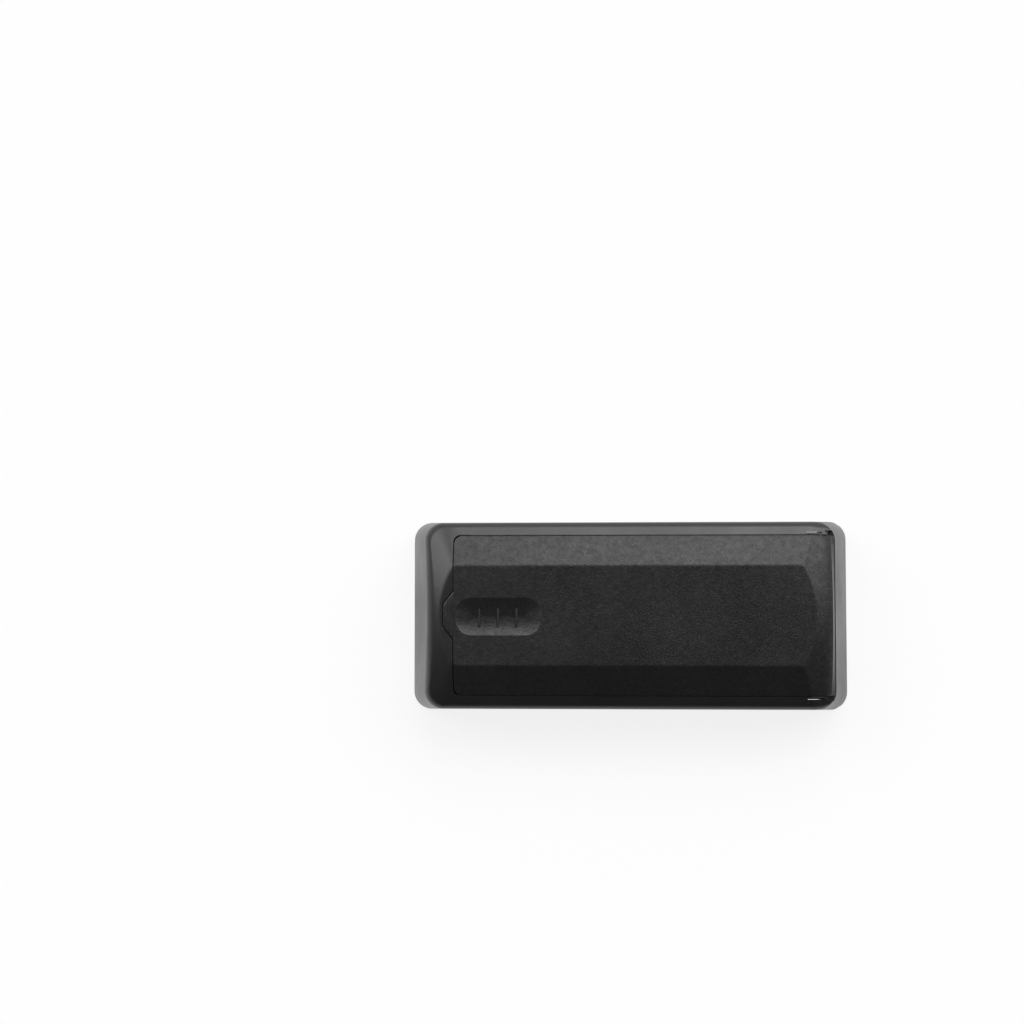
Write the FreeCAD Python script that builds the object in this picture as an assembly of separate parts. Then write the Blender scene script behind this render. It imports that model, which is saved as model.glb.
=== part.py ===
import FreeCAD, Part
import math
import os

# Magnetic key holder box: a moulded tray whose long walls carry two rails, a lid that slides
# along them over the low end wall, and two magnet packs in pockets under the floor.
#
# Frame, in millimetres: X runs along the box and the lid opens towards +X, Y runs across it,
# Z is up. The magnets' pole strips stand on Z = 0, below the middle of the box.

# Outer form: a tapered block with rounded corners under a shallow hip roof.
LENGTH = 120.0              # along X, at the foot
WIDTH = 52.0                # across Y, at the foot
HEIGHT = 25.0               # from the strips' feet to the flat of the roof
END_DRAFT = 16.0            # degrees, end walls from upright
SIDE_DRAFT = 3.0            # degrees, long walls from upright
CORNER_RADIUS = 5.0         # upright corners of the block
FLAT_HOOD_INSET = 9.4       # from the foot's left end to the flat of the roof
FLAT_LOW_INSET = 10.4       # the same at the right end
FLAT_SIDE_INSET = 12.65     # from the foot's side to the flat of the roof
FLAT_END_RADIUS = 25.4      # bow of the flat's two ends
SIDE_SLOPE = 19.0           # degrees, long facets from level
END_SLOPE = 22.5            # degrees, end facets from level

# Tray.
HOOD_LENGTH = 13.1          # from the foot's left end to the face that the lid closes against
FLOOR = 1.8                 # floor thickness
LIP_INSET = 4.5             # from the foot's side to the inner edge of the rail's lip
LIP_THICKNESS = 1.5         # lip above the groove, at its inner edge
GROOVE_HEIGHT = 1.8
GROOVE_DEPTH = 1.1          # from the lip's inner edge out to the groove's wall
TRACK_DEPTH = 1.6           # the same, along the stop nibs' track
LEDGE = 0.9                 # the wall below the groove stands in this far past the lip
END_WALL = 2.2              # low end wall, at its top
STOP_LIP = 0.1              # lip left over the groove at the stops, where the roof comes down
STOP_POST = 1.0             # from the stops to where the rails open upwards
WINDOW_LENGTH = 4.2         # moulding window over the end of the nibs' track
WINDOW_WIDTH = 0.8
CAVITY_RADIUS = 2.0         # upright corners inside the tray
CORE_WALL = 2.0             # walls left around the hollows under the two ends
CORE_ROOF = 2.0             # left between the hood's hollow and the notch
CORE_RIBS = 3               # ribs across each hollow
CORE_RIB = 1.4

# Magnet packs: a ferrite block between two steel pole strips, on an adhesive pad.
PACKS = 2
MAGNET_LENGTH = 38.0
MAGNET_WIDTH = 20.0
MAGNET_THICKNESS = 4.5
STRIP = 1.8                 # thickness of a pole strip
STRIP_PROUD = 0.3           # the strips' feet reach this far below the block
FOOT_GAP = 0.4              # the tray's foot stays this far above the strips' feet
PAD = 0.5                   # adhesive pad thickness
PACK_GAP = 0.2              # clearance around a pack in its pocket
POCKET_WALL = 1.4           # platform walls and roof around the pockets
POCKET_SPACING = 3.0        # between the two pockets
PLATFORM_RADIUS = 2.0
PLATFORM_ROLL = 0.4

# Label on the platform.
LABEL_THICKNESS = 0.15
LABEL_MARGIN = 1.2          # platform left bare around the label
LABEL_RADIUS = 1.5

# Lid.
LID_GAP = 0.25              # clearance between the lid and the tray, in plan
REST_GAP = 0.1              # clearance above and below the runners
LID_END_INSET = 6.5         # from the foot's right end to the middle of the lid's end
LID_END_RADIUS = 250.0      # bow of the lid's end
LID_CORNER = 1.3
LID_WALL = 1.8              # thickness of the lid's roof
LID_SIDE = 2.6              # thickness of the lid's edges, in plan
RUNNER_WIDTH = 0.85         # runners along the lid's sides, in the grooves
NIB_LENGTH = 3.8            # stop nibs on the runners
NIB_WIDTH = 0.5             # past the runner
TRAVEL = 80.0               # the lid's slide, from shut to its stops
TONGUE_LENGTH = 2.7         # tongue at the closing end, in the hood's notch
TONGUE_ROOT = 12.6
TONGUE_TIP = 5.6
STIFFENERS = 3              # ribs across the lid's hollow
STIFFENER = 1.2
STIFFENER_DROP = 1.2        # depth of a rib below the lid's roof

# Thumb recess in the lid's top, with grip ribs.
SCOOP_START = 0.6           # from the lid's closing edge
SCOOP_LENGTH = 22.2
SCOOP_WIDTH = 10.3
SCOOP_DEPTH = 1.3
GRIP_RIBS = 3
GRIP_FIRST = 6.9            # from the lid's closing edge to the first rib
GRIP_PITCH = 4.95
GRIP_WIDTH = 0.8
GRIP_LENGTH = 5.2
GRIP_HEIGHT = 0.75          # above the bottom of the recess

# Worked out from the sizes above.
FAR = 2.0 * LENGTH          # a reach past everything, for cutting solids
END = LENGTH / 2
SIDE = WIDTH / 2
FLAT_SIDE = SIDE - FLAT_SIDE_INSET
LIP_SIDE = SIDE - LIP_INSET
GROOVE_SIDE = LIP_SIDE + GROOVE_DEPTH
TRACK_SIDE = LIP_SIDE + TRACK_DEPTH
CAVITY_SIDE = LIP_SIDE - LEDGE
HOOD_FACE = HOOD_LENGTH - END
LIP_TOP = HEIGHT - (LIP_SIDE - FLAT_SIDE) * math.tan(math.radians(SIDE_SLOPE))
GROOVE_TOP = LIP_TOP - LIP_THICKNESS
LEDGE_TOP = GROOVE_TOP - GROOVE_HEIGHT
STOP_RADIUS = FLAT_END_RADIUS + (HEIGHT - GROOVE_TOP - STOP_LIP) / math.tan(math.radians(END_SLOPE))
STOP_FACE = END - FLAT_LOW_INSET - FLAT_END_RADIUS + math.sqrt(STOP_RADIUS ** 2 - TRACK_SIDE ** 2)
MOUTH = STOP_FACE + STOP_POST
FLOOR_TOP = FOOT_GAP + FLOOR
CAVITY_END = END - (LEDGE_TOP - FOOT_GAP) * math.tan(math.radians(END_DRAFT)) - END_WALL
PACK_TOP = STRIP_PROUD + MAGNET_THICKNESS
PACK_WIDTH = MAGNET_WIDTH + 2 * STRIP
POCKET_TOP = PACK_TOP + PAD
POCKET_LENGTH = MAGNET_LENGTH + 2 * PACK_GAP
POCKET_SIDE = PACK_WIDTH / 2 + PACK_GAP
POCKET_PITCH = POCKET_LENGTH + POCKET_SPACING
PLATFORM_END = ((PACKS - 1) * POCKET_PITCH + POCKET_LENGTH) / 2 + POCKET_WALL
PLATFORM_SIDE = POCKET_SIDE + POCKET_WALL
PLATFORM_TOP = POCKET_TOP + POCKET_WALL
LID_FACE = HOOD_FACE + LID_GAP
LID_SIDE_FACE = LIP_SIDE - LID_GAP
LID_END = END - LID_END_INSET
LID_FOOT = LEDGE_TOP + REST_GAP
RUNNER_TOP = GROOVE_TOP - REST_GAP
NIB_FRONT = STOP_FACE - TRAVEL - LID_GAP


def block(x0, x1, y0, y1, z0, z1):
    """A box between two corners."""
    return Part.makeBox(x1 - x0, y1 - y0, z1 - z0, FreeCAD.Vector(x0, y0, z0))


def rounded_block(x0, x1, y0, y1, z0, z1, radius):
    """A box with its four upright edges rounded."""
    solid = block(x0, x1, y0, y1, z0, z1)
    upright = [e for e in solid.Edges if abs(e.Vertexes[0].Z - e.Vertexes[1].Z) > (z1 - z0) / 2]
    return solid.makeFillet(radius, upright)


def prism(points, direction):
    """A closed outline of points, drawn out along a direction."""
    corners = [FreeCAD.Vector(*p) for p in points]
    return Part.Face(Part.makePolygon(corners + corners[:1])).extrude(FreeCAD.Vector(*direction))


def tapered_block():
    """The moulding's draft: straight walls that lean in from the foot, with rounded corners."""
    top = HEIGHT + CORNER_RADIUS
    x = END - (top - FOOT_GAP) * math.tan(math.radians(END_DRAFT))
    y = SIDE - (top - FOOT_GAP) * math.tan(math.radians(SIDE_DRAFT))
    along = prism([(-END, -SIDE, FOOT_GAP), (END, -SIDE, FOOT_GAP), (x, -SIDE, top), (-x, -SIDE, top)],
                  (0, WIDTH, 0))
    across = prism([(-END, -SIDE, FOOT_GAP), (-END, SIDE, FOOT_GAP), (-END, y, top), (-END, -y, top)],
                   (LENGTH, 0, 0))
    solid = along.common(across)
    corners = [e for e in solid.Edges if abs(e.Vertexes[0].Z - e.Vertexes[1].Z) > HEIGHT / 2]
    return solid.makeFillet(CORNER_RADIUS, corners)


def roof(drop):
    """Everything under the hip roof, lowered by a drop: flat, two long facets, two bowed ends."""
    top = HEIGHT - drop
    low = top - (FAR - FLAT_SIDE) * math.tan(math.radians(SIDE_SLOPE))
    section = [(-FAR, -FAR, low - FAR), (-FAR, -FAR, low), (-FAR, -FLAT_SIDE, top),
               (-FAR, FLAT_SIDE, top), (-FAR, FAR, low), (-FAR, FAR, low - FAR)]
    solid = prism(section, (2 * FAR, 0, 0))
    rise = FLAT_END_RADIUS * math.tan(math.radians(END_SLOPE)) / 2
    foot_radius = FLAT_END_RADIUS + (top + HEIGHT) / math.tan(math.radians(END_SLOPE))
    for side, inset, seam in ((-1, FLAT_HOOD_INSET, 0), (1, FLAT_LOW_INSET, 180)):
        centre = side * (END - inset - FLAT_END_RADIUS)
        cone = Part.makeCone(foot_radius, FLAT_END_RADIUS / 2, top + HEIGHT + rise,
                             FreeCAD.Vector(centre, 0, -HEIGHT))
        cone.rotate(FreeCAD.Vector(centre, 0, 0), FreeCAD.Vector(0, 0, 1), seam)
        end = block(min(centre, side * FAR), max(centre, side * FAR), -FAR, FAR, -HEIGHT, top + rise)
        solid = solid.cut(end.cut(cone))
    return solid


def lid_plan(reach, low, high):
    """The lid's outline, grown outwards by a reach, as a prism between two heights."""
    left = LID_FACE - reach
    side = LID_SIDE_FACE + reach
    end = rounded_block(left, LID_END + LID_END_RADIUS, -side, side, low, high, LID_CORNER + reach)
    bow = Part.makeCylinder(LID_END_RADIUS + reach, high - low,
                            FreeCAD.Vector(LID_END - LID_END_RADIUS, 0, low))
    root = TONGUE_ROOT / 2 + reach
    tip = TONGUE_TIP / 2 + reach
    tongue = prism([(left + LID_CORNER, -root, low), (left, -root, low), (left - TONGUE_LENGTH, -tip, low),
                    (left - TONGUE_LENGTH, tip, low), (left, root, low), (left + LID_CORNER, root, low)],
                   (0, 0, high - low))
    return end.common(bow).fuse(tongue).removeSplitter()


def magnet_places():
    """The middle of each magnet pack along X."""
    return [(i - (PACKS - 1) / 2) * POCKET_PITCH for i in range(PACKS)]


def end_hollows():
    """Ribbed hollows under the two ends, open at the foot, which keep the moulding's walls even."""
    lean = math.tan(math.radians(END_DRAFT))
    side = CAVITY_SIDE - CORE_WALL
    outer = END - CORE_WALL / math.cos(math.radians(END_DRAFT))
    below = outer + 2 * FOOT_GAP * lean

    inner = CAVITY_END + CORE_WALL
    top = FOOT_GAP + (outer - inner) / lean
    low_end = prism([(inner, -side, -FOOT_GAP), (below, -side, -FOOT_GAP), (inner, -side, top)],
                    (0, 2 * side, 0))

    inner = HOOD_FACE - CORE_WALL
    top = LEDGE_TOP - CORE_ROOF
    narrow = (top - FOOT_GAP) * lean - outer
    hood_end = prism([(inner, -side, -FOOT_GAP), (-below, -side, -FOOT_GAP),
                      (narrow, -side, top), (inner, -side, top)], (0, 2 * side, 0))

    hollows = low_end.fuse(hood_end)
    pitch = 2 * side / (CORE_RIBS + 1)
    for i in range(CORE_RIBS):
        y = (i + 1) * pitch - side
        hollows = hollows.cut(block(-FAR, FAR, y - CORE_RIB / 2, y + CORE_RIB / 2, -FAR, FAR))
    return hollows


def make_tray():
    """Floor, four walls, two lipped rails, the hood over the closed end and the magnets' platform."""
    tray = tapered_block().common(roof(0.0))

    # The cavity, the grooves and the way in for the lid.
    tray = tray.cut(rounded_block(HOOD_FACE, CAVITY_END, -CAVITY_SIDE, CAVITY_SIDE,
                                  FLOOR_TOP, FAR, CAVITY_RADIUS))
    tray = tray.cut(block(HOOD_FACE, FAR, -LIP_SIDE, LIP_SIDE, LEDGE_TOP, FAR))
    tray = tray.cut(block(HOOD_FACE, FAR, -GROOVE_SIDE, GROOVE_SIDE, LEDGE_TOP, GROOVE_TOP))
    tray = tray.cut(block(HOOD_FACE, STOP_FACE, -TRACK_SIDE, TRACK_SIDE, LEDGE_TOP, GROOVE_TOP))
    tray = tray.cut(block(MOUTH, FAR, -GROOVE_SIDE, GROOVE_SIDE, LEDGE_TOP, FAR))
    for side in (-1, 1):
        edges = sorted((side * TRACK_SIDE, side * (TRACK_SIDE - WINDOW_WIDTH)))
        tray = tray.cut(block(STOP_FACE - WINDOW_LENGTH, STOP_FACE, edges[0], edges[1], LEDGE_TOP, FAR))

    # The notch in the hood for the lid's tongue.
    notch = lid_plan(LID_GAP, LEDGE_TOP, FAR).common(block(-FAR, HOOD_FACE, -FAR, FAR, -FAR, FAR))
    tray = tray.cut(notch)

    # The platform over the magnet packs, and their pockets.
    platform = rounded_block(-PLATFORM_END, PLATFORM_END, -PLATFORM_SIDE, PLATFORM_SIDE,
                             FOOT_GAP, PLATFORM_TOP, PLATFORM_RADIUS)
    upper = [e for e in platform.Edges if min(v.Z for v in e.Vertexes) > PLATFORM_TOP - PLATFORM_ROLL]
    platform = platform.makeFillet(PLATFORM_ROLL, upper)
    tray = tray.fuse(platform)
    for x in magnet_places():
        tray = tray.cut(block(x - POCKET_LENGTH / 2, x + POCKET_LENGTH / 2, -POCKET_SIDE, POCKET_SIDE,
                              -FAR, POCKET_TOP))
    return tray.cut(end_hollows()).removeSplitter()


def scoop():
    """The thumb recess: a round-bottomed trough with ball ends, less its grip ribs."""
    radius = ((SCOOP_WIDTH / 2) ** 2 + SCOOP_DEPTH ** 2) / (2 * SCOOP_DEPTH)
    axis = HEIGHT - SCOOP_DEPTH + radius
    first = LID_FACE + SCOOP_START + SCOOP_WIDTH / 2
    last = LID_FACE + SCOOP_START + SCOOP_LENGTH - SCOOP_WIDTH / 2
    trough = Part.makeCylinder(radius, last - first, FreeCAD.Vector(first, 0, axis),
                               FreeCAD.Vector(1, 0, 0))
    for x in (first, last):
        trough = trough.fuse(Part.makeSphere(radius, FreeCAD.Vector(x, 0, axis), FreeCAD.Vector(0, 1, 0)))
    trough = trough.common(block(first - SCOOP_WIDTH, last + SCOOP_WIDTH, -SCOOP_WIDTH, SCOOP_WIDTH,
                                 HEIGHT - 2 * SCOOP_DEPTH, HEIGHT + SCOOP_DEPTH))
    for i in range(GRIP_RIBS):
        x = LID_FACE + GRIP_FIRST + i * GRIP_PITCH
        trough = trough.cut(block(x - GRIP_WIDTH / 2, x + GRIP_WIDTH / 2, -GRIP_LENGTH / 2, GRIP_LENGTH / 2,
                                  -FAR, HEIGHT - SCOOP_DEPTH + GRIP_HEIGHT))
    return trough


def make_lid():
    """The sliding lid: a shallow shell with a runner along each side and a tongue at its closing end."""
    lid = lid_plan(0.0, LID_FOOT, FAR).common(roof(0.0))
    lid = lid.cut(scoop())

    # The hollow under its roof, with ribs across it.
    hollow = rounded_block(LID_FACE + LID_SIDE, LID_END - LID_SIDE, -LID_SIDE_FACE + LID_SIDE,
                           LID_SIDE_FACE - LID_SIDE, -FAR, FAR, LID_CORNER)
    hollow = hollow.common(roof(LID_WALL))
    under_scoop = block(LID_FACE, LID_FACE + SCOOP_START + SCOOP_LENGTH + LID_WALL,
                        -SCOOP_WIDTH / 2 - LID_WALL, SCOOP_WIDTH / 2 + LID_WALL,
                        HEIGHT - SCOOP_DEPTH - LID_WALL, FAR)
    hollow = hollow.cut(under_scoop)
    pitch = (LID_END - LID_FACE) / (STIFFENERS + 1)
    for i in range(STIFFENERS):
        x = LID_FACE + (i + 1) * pitch
        slab = block(x - STIFFENER / 2, x + STIFFENER / 2, -FAR, FAR, -FAR, FAR)
        hollow = hollow.cut(slab.cut(roof(LID_WALL + STIFFENER_DROP)))
    lid = lid.cut(hollow)

    # The runners and their stop nibs.
    for side in (-1, 1):
        runner = sorted((side * (LID_SIDE_FACE - LID_GAP), side * (LID_SIDE_FACE + RUNNER_WIDTH)))
        lid = lid.fuse(block(LID_FACE + LID_CORNER, LID_END - LID_CORNER, runner[0], runner[1],
                             LID_FOOT, RUNNER_TOP))
        nib = sorted((side * LID_SIDE_FACE, side * (LID_SIDE_FACE + RUNNER_WIDTH + NIB_WIDTH)))
        lid = lid.fuse(block(NIB_FRONT - NIB_LENGTH, NIB_FRONT, nib[0], nib[1], LID_FOOT, RUNNER_TOP))
    return lid.removeSplitter()


def make_magnet(x):
    """One ferrite block."""
    return block(x - MAGNET_LENGTH / 2, x + MAGNET_LENGTH / 2, -MAGNET_WIDTH / 2, MAGNET_WIDTH / 2,
                 STRIP_PROUD, PACK_TOP)


def make_strip(x, side):
    """One steel pole strip along a side of a block."""
    edges = sorted((side * MAGNET_WIDTH / 2, side * PACK_WIDTH / 2))
    return block(x - MAGNET_LENGTH / 2, x + MAGNET_LENGTH / 2, edges[0], edges[1], 0.0, PACK_TOP)


def make_pad(x):
    """The adhesive pad between a pack and the roof of its pocket."""
    return block(x - MAGNET_LENGTH / 2, x + MAGNET_LENGTH / 2, -PACK_WIDTH / 2, PACK_WIDTH / 2,
                 PACK_TOP, POCKET_TOP)


def make_label():
    """A plain film label on the platform."""
    x = PLATFORM_END - LABEL_MARGIN
    y = PLATFORM_SIDE - LABEL_MARGIN
    return rounded_block(-x, x, -y, y, PLATFORM_TOP, PLATFORM_TOP + LABEL_THICKNESS, LABEL_RADIUS)


def main():
    nodes = {"tray": make_tray(), "sliding_lid": make_lid(), "inside_label": make_label()}
    for number, x in enumerate(magnet_places(), 1):
        nodes[f"magnet_{number}"] = make_magnet(x)
        nodes[f"pole_strip_front_{number}"] = make_strip(x, -1)
        nodes[f"pole_strip_back_{number}"] = make_strip(x, 1)
        nodes[f"adhesive_pad_{number}"] = make_pad(x)
    os.makedirs("parts", exist_ok=True)
    for name, shape in nodes.items():
        print(name, shape.isValid(), len(shape.Solids), round(shape.Volume, 1))
        shape.exportStep(f"parts/{name}.step")


main()
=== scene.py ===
import math

import bmesh
import bpy
import numpy as np
from mathutils import Matrix, Vector


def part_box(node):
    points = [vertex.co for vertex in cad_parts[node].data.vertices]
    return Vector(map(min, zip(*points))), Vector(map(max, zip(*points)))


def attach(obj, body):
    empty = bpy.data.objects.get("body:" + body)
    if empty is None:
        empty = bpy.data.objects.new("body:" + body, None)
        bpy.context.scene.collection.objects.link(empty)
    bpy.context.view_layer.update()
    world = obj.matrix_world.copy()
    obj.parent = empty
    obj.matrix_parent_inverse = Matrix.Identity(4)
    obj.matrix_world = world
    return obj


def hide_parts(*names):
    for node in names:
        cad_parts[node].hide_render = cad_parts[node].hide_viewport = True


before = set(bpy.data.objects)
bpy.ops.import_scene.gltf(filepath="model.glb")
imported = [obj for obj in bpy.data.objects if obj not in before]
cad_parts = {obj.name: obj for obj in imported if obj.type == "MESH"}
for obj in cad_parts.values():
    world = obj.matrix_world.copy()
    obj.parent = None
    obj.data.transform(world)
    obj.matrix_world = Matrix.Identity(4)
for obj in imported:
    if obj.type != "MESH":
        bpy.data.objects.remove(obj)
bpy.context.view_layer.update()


# ---------------------------------------------------------------------------------------------
# Tray. One injection moulding in black ABS: a floor, drafted walls, two lipped rails for the lid,
# a hood over the closed end, and a raised platform over the magnets. The mould leaves its outer
# edge rolled over, and ribbed hollows under both ends.

MM = 0.001
tray_low, tray_high = (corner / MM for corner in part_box("tray"))
END = tray_high.x               # half the length, at the foot
SIDE = tray_high.y              # half the width, at the foot
FOOT = tray_low.z
HEIGHT = tray_high.z
END_DRAFT = math.radians(15.4)  # end walls from upright
SIDE_DRAFT = math.radians(3)
CORNER_RADIUS = 5.0
SIDE_ROLL = 2.6                 # roll of the outer edge along the sides
END_ROLL = 4.6                  # and round the hood
LOW_EDGE = 0.08                 # edge of the low end wall
FOOT_INSET = 1.2                # width of the flat that runs round under the foot
FOOT_RADIUS = 0.4
WALL_LINES = (9.0, 18.3)        # heights of two lines of the mesh round the wall
RIM_DROP = 4.2                  # the rim's corners lie about this far below the top

# The shallow hip roof that the rim, the hood and the lid share.
FLAT_SIDE = 13.35               # half the width of its flat
FLAT_END_RADIUS = 25.4          # bow of the flat's two ends
HOOD_CENTRE = -25.2             # centre of the bow at the hood
LOW_CENTRE = 24.2               # and at the low end
SIDE_FALL = math.tan(math.radians(19))
END_FALL = math.tan(math.radians(22.5))
CREASE = 0.14                   # height over which two faces of the roof run into each other
HOOD_CREASE = 0.3               # and over which the flat runs into the hood
HIP_CREASE = 0.9                # added to it along the hips, at the rim
HIP_RUN = 8.0                   # the hips soften over this far out from the flat's corners

# The opening, its rails and the cavity.
LIP = 21.44                     # half the width between the rails' lips
HOOD_FACE = -46.86
OPENING_CORNER = 1.7
DETENT = (-44.7, -42.4, 0.03)   # low x, high x and reach of the nub that holds the lid shut
DETENT_RAMP = 0.12
NOTCH_X = -49.6                 # notch in the hood for the lid's tongue
NOTCH_TIP = 3.05
NOTCH_ROOT = 6.55
GROOVE_TOP = 20.69
LEDGE = 18.89                   # bottom of the grooves, and top of the low end wall
TRACK = 23.1                    # wall of the stop nibs' track
GROOVE = 22.6                   # wall of the groove past the stops
WINDOW_START = 47.04            # moulding windows through the lips
LIP_ROWS = (0.38, 0.55, 0.76, 1.15, 1.5)    # lines along a rail, from its lip; the windows lie
                                            # between the first and the third
STOP = 51.24
SHAFT_FLARE = (1.0, 0.8)        # the holes under the windows are this much longer and wider below
MOUTH = 52.75                   # the lips end here
CAVITY = (HOOD_FACE, 52.5, 20.6, 2.0)       # low x, high x, half width, corner radius
FLOOR = 2.2
PLATFORM = (-41.3, 41.3, 13.4, 2.0)
PLATFORM_TOP = 6.7
PLATFORM_RADIUS = 0.4           # on its upper edge
TOP_INSET = 1.5                 # the mesh of its top starts this far in
TOP_CORNER = 1.0
WALL_FILLET = 0.6               # where the floor meets the walls
PLATFORM_FILLET = 0.3           # and where it meets the platform
EDGE = 0.06                     # small radius on the moulding's other edges

# Underneath: two magnet pockets, and a row of hollows with ribs between them at each end.
POCKET_PITCH = 41.4
POCKET = (19.2, 12.0, 5.3)      # half length, half width, height of the top
HOLLOW_RIBS = 3
HOLLOW_RIB = 1.4
HOLLOW_SIDE = 2.0               # the hollows stop this far within the cavity's sides
LOW_HOLLOW = (54.6, 57.8, 54.7, 55.0, 11.4)     # low and high x at the mouth and at the top, and height
HOOD_HOLLOW = (-57.8, HOOD_FACE - 2.0, -53.2, HOOD_FACE - 2.1, 16.8)
MOUTH_CHAMFER = 0.2             # round the mouths
MOUTH_DEPTH = 0.25


def soft_max(a, b, width):
    """The larger of two heights, run together smoothly where they cross."""
    near = np.maximum(width - np.abs(a - b), 0.0)
    return np.maximum(a, b) + near * near / (4 * width)


def roof(x, y):
    """Height of the hip roof over a point of the plan."""
    facet = (np.abs(y) - FLAT_SIDE) * SIDE_FALL
    hood = (np.hypot(np.minimum(x - HOOD_CENTRE, 0.0), y) - FLAT_END_RADIUS) * END_FALL
    low = (np.hypot(np.maximum(x - LOW_CENTRE, 0.0), y) - FLAT_END_RADIUS) * END_FALL
    hood = np.where(x < HOOD_CENTRE, hood, -HEIGHT)
    low = np.where(x > LOW_CENTRE, low, -HEIGHT)
    drop = soft_max(soft_max(0.0, facet, CREASE), low, CREASE)
    hip = HOOD_CREASE + HIP_CREASE * np.clip((np.abs(y) - FLAT_SIDE) / HIP_RUN, 0.0, 1.0)
    return HEIGHT - soft_max(drop, hood, hip)


def outline(at, box):
    """Point on a rounded rectangle. The place is (x, y, turn): a point of its core, clamped, and
    the way the outline faces there, in degrees."""
    low, high, side, radius = box
    turn = math.radians(at[2])
    x = min(max(at[0], low + radius), high - radius) + radius * math.cos(turn)
    return x, min(at[1], side - radius) + radius * math.sin(turn)


def wall(at, z):
    """Point of the drafted outer wall at a height."""
    end = END - (z - FOOT) * math.tan(END_DRAFT)
    side = SIDE - (z - FOOT) * math.tan(SIDE_DRAFT)
    return Vector((*outline(at, (-end, end, side, CORNER_RADIUS)), z))


def rim(at):
    """Where the outer wall meets the roof."""
    z = LEDGE
    for _ in range(12):
        point = wall(at, z)
        z = float(roof(point.x, point.y))
    return wall(at, z)


def rounded(path):
    """A path through corners (point, radius, steps), each turned into an arc of that many steps. An
    arc takes up just under half of a side that it shares with another arc, and nearly all of one
    that it doesn't share."""
    points = [path[0][0]]
    for (before, left, _), (at, radius, steps), (after, right, _) in zip(path, path[1:], path[2:]):
        back, on = before - at, after - at
        room = min(back.length * (0.48 if left else 0.95), on.length * (0.48 if right else 0.95))
        bend = back.angle(on) if room > 1e-4 else math.pi
        if steps == 0 or bend > math.radians(179):
            points += [at] * (steps + 1)
            continue
        cut = min(radius / math.tan(bend / 2), room)
        reach = cut / math.cos(bend / 2)
        centre = at + (back.normalized() + on.normalized()).normalized() * reach
        first = at + back.normalized() * cut - centre
        last = at + on.normalized() * cut - centre
        sweep = math.pi - bend
        for i in range(steps + 1):
            share = math.sin(sweep * (1 - i / steps)), math.sin(sweep * i / steps)
            points.append(centre + (first * share[0] + last * share[1]) / math.sin(sweep))
    return points + [path[-1][0]]


def hood_rows(start, end, blend):
    """How far along a line over the hood its rows lie: on the crease of the flat, or, towards the
    rails, where the rails' own rows are."""
    span = (end - start).length
    steps = np.linspace(0.0, span, 60)
    spots = [start + (end - start) * (s / span) for s in steps]
    flat = sum(math.hypot(p.x - HOOD_CENTRE, p.y) < FLAT_END_RADIUS and p.y < FLAT_SIDE for p in spots)
    crease = min(max(span * flat / len(steps), 0.9), span - 2.9)
    rows = [max(crease + d, 0.1 + 0.1 * i) for i, d in enumerate((-0.75, -0.35, 0, 0.35, 0.75))]
    return [c * (1 - blend) + r * blend for c, r in zip(rows, LIP_ROWS)]


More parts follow.
